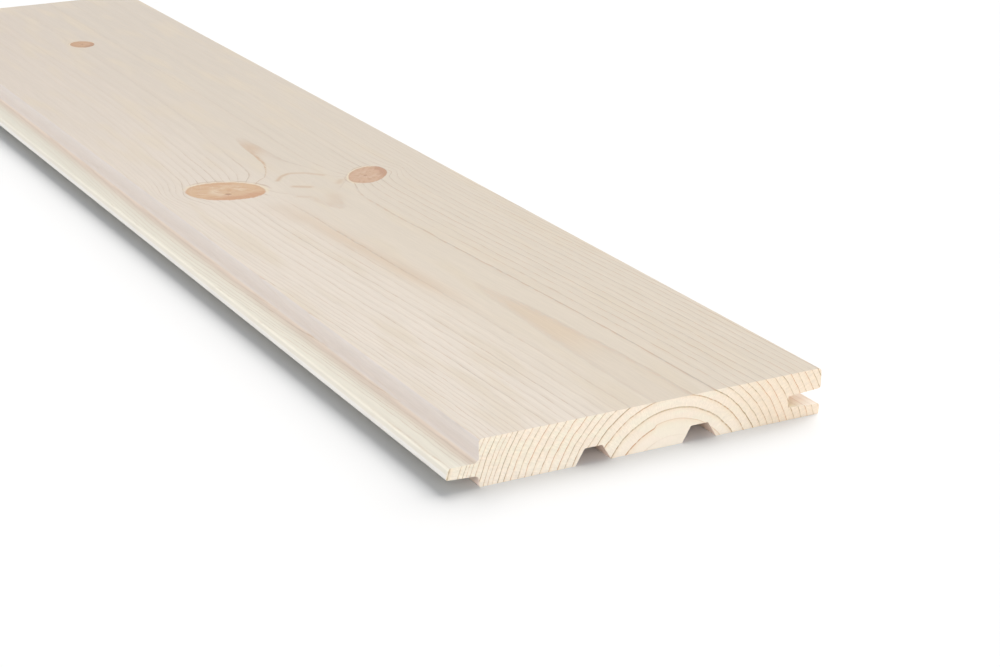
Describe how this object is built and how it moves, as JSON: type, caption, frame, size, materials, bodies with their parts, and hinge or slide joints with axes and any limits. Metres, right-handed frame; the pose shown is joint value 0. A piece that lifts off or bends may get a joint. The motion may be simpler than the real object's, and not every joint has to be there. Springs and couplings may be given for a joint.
{
  "type": "tongue and groove board",
  "caption": "Softwood board with a tongue along one edge, a groove along the other and relief grooves in its back, for floors, walls and ceilings.",
  "frame": {"origin": "under the middle of the board, on the plane of its back, midway between the tongue's tip and the upper lip", "axes": "+Y along the grain, -X towards the tongue, +X towards the groove, +Z out of the show face"},
  "size_m": [0.121, 0.6, 0.014],
  "materials": {
    "softwood": "planed, untreated"
  },
  "bodies": {
    "root": {"board": "softwood"}
  },
  "joints": []
}
